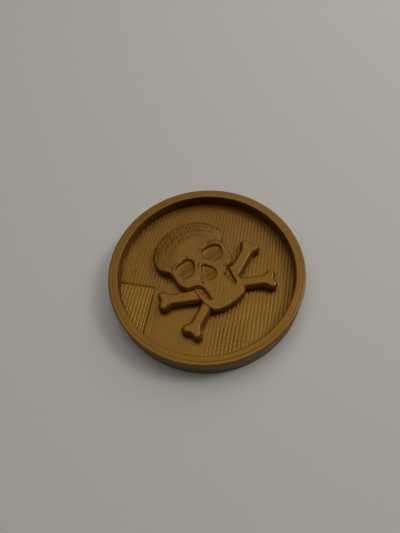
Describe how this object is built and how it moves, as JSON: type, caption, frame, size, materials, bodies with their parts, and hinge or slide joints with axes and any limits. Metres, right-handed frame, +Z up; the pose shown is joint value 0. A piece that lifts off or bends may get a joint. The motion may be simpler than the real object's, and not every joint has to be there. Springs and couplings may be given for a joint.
{
  "type": "pirate coin",
  "caption": "Round printed game coin with a raised rim around a sunken field and a skull and crossbones standing on the field in relief.",
  "frame": {"origin": "centre of the flat underside", "axes": "+Z up out of the decorated face, +Y from the chin to the crown of the skull, +X to the right of the skull as it is seen"},
  "size_m": [0.045, 0.045, 0.006],
  "materials": {
    "filament": "satin bronze-brown printed filament with visible print lines"
  },
  "bodies": {
    "root": {"base_disc": "filament", "rim_ring": "filament", "skull": "filament", "jaw": "filament", "bone_upper_right": "filament", "bone_upper_left": "filament", "bone_lower_right": "filament", "bone_lower_left": "filament"}
  },
  "joints": []
}
